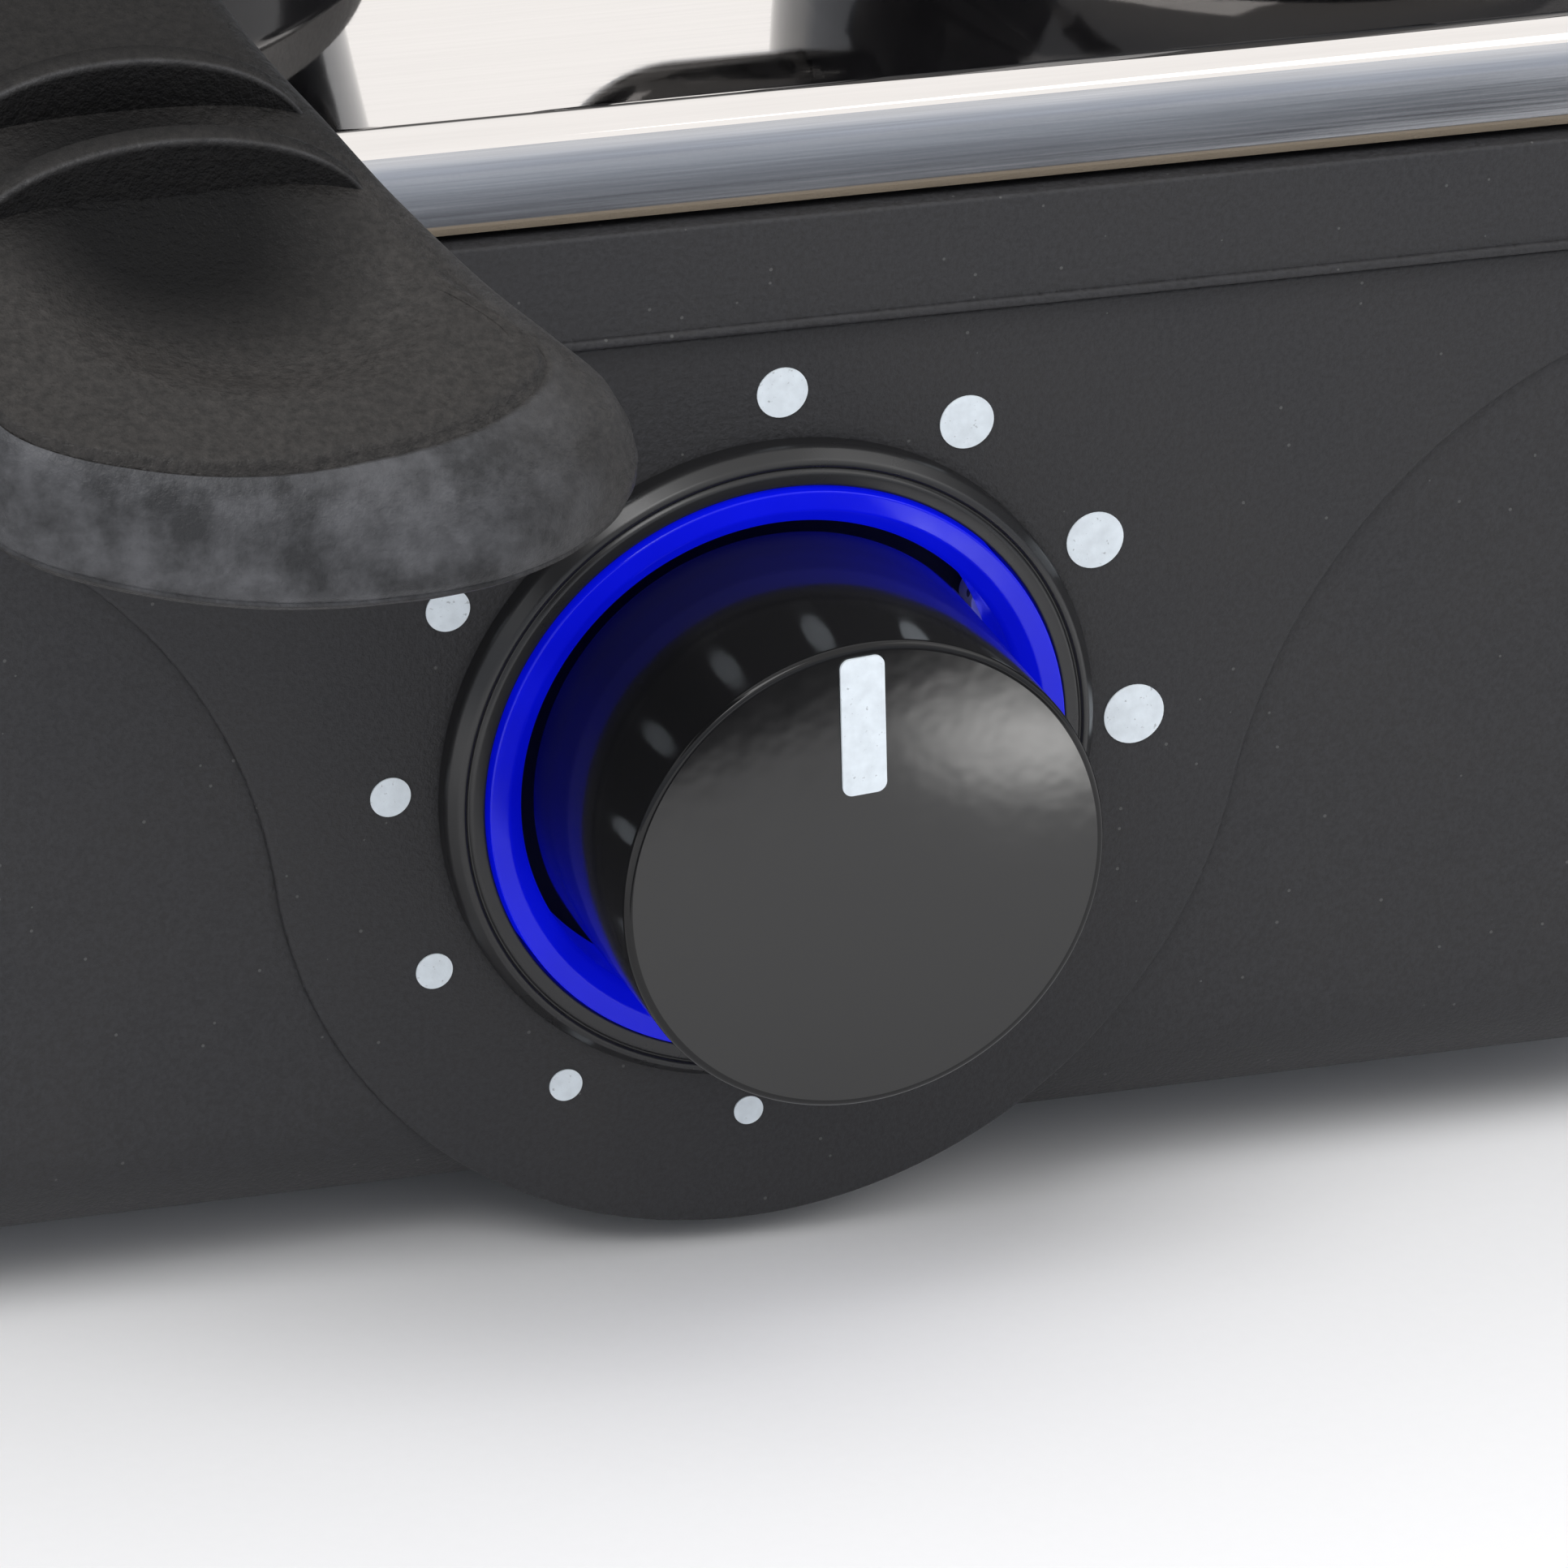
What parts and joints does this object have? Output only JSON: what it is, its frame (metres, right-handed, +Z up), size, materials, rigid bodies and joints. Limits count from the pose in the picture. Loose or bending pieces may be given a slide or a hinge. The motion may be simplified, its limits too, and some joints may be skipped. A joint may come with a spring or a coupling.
{
  "type": "hot plate burner",
  "caption": "Table-top double hot plate: polished steel deck on a black moulded base, one lit thermostat knob with a dotted dial, cast plates, a handled pan and a small pot.",
  "frame": {"origin": "on the table, under the middle of the appliance's box", "axes": "+X to the right seen from the front, +Y to the back, +Z up; the dial faces -Y"},
  "size_m": [0.26, 0.203, 0.1383],
  "materials": {
    "polished_steel": "mirror polished top, brushed flange",
    "black_textured_plastic": "fine spark-eroded texture",
    "zinc_steel": "bright zinc plated",
    "foot_rubber": "matt",
    "white_print": "pad printed, slightly rough",
    "gloss_black_plastic": "high gloss",
    "blue_light": "translucent, lit from behind",
    "lamp_white": "clear epoxy",
    "green_board": "circuit board",
    "brass_parts": "plain",
    "white_ceramic": "unglazed",
    "cast_plate": "burnt-in black coating",
    "black_enamel": "gloss enamel",
    "element_steel": "heat tinted",
    "mica": "pressed mica",
    "wire_insulation": "silicone",
    "grip_plastic": "coarse moulded texture"
  },
  "bodies": {
    "base": {"base_tub": "black_textured_plastic", "bezel_ring": "gloss_black_plastic", "bimetal_blade": "zinc_steel", "bottom_cover": "zinc_steel", "burner_drum_large": "black_enamel", "burner_drum_small": "black_enamel", "burner_nut_large": "zinc_steel", "burner_nut_small": "zinc_steel", "burner_stud_large": "zinc_steel", "burner_stud_small": "zinc_steel", "clamp_bridge_large": "zinc_steel", "clamp_bridge_small": "zinc_steel", "cover_screws": "zinc_steel", "deck_tray": "polished_steel", "dial_dots": "white_print", "earth_screw": "brass_parts", "element_terminals_large": "element_steel", "element_terminals_small": "element_steel", "fascia": "black_textured_plastic", "heat_shield": "zinc_steel", "heating_element_large": "element_steel", "heating_element_small": "element_steel", "hot_plate_large": "cast_plate", "hot_plate_small": "cast_plate", "inlet_pins": "brass_parts", "inlet_screws": "zinc_steel", "inlet_socket": "black_textured_plastic", "internal_wiring": "wire_insulation", "light_board": "green_board", "light_ring": "blue_light", "mica_disc_large": "mica", "mica_disc_small": "mica", "ring_lamps": "lamp_white", "rubber_feet": "foot_rubber", "terminal_block": "white_ceramic", "thermal_fuse": "white_ceramic", "thermostat_body": "white_ceramic", "thermostat_bracket": "zinc_steel", "thermostat_bush": "brass_parts", "thermostat_nut": "zinc_steel", "thermostat_terminals": "brass_parts", "upper_band": "black_textured_plastic"},
    "knob": {"knob": "gloss_black_plastic", "knob_pointer": "white_print", "knob_clip": "zinc_steel", "thermostat_shaft": "zinc_steel"},
    "pan": {"pan_body": "black_enamel", "pan_bracket": "zinc_steel", "pan_handle": "grip_plastic", "handle_screw": "zinc_steel"},
    "pot": {"pot_body": "black_enamel", "pot_handle": "black_enamel"}
  },
  "joints": [
    {"name": "knob_turn", "type": "hinge", "parent": "base", "child": "knob", "pos_m": [0, -0.06, 0.037], "axis": [0, 1, 0], "range_deg": [-180, 90]},
    {"name": "pan_lift", "type": "slide", "parent": "base", "child": "pan", "axis": [0, 0, 1], "range_m": [0, 0.12]},
    {"name": "pot_lift", "type": "slide", "parent": "base", "child": "pot", "axis": [0, 0, 1], "range_m": [0, 0.12]}
  ]
}
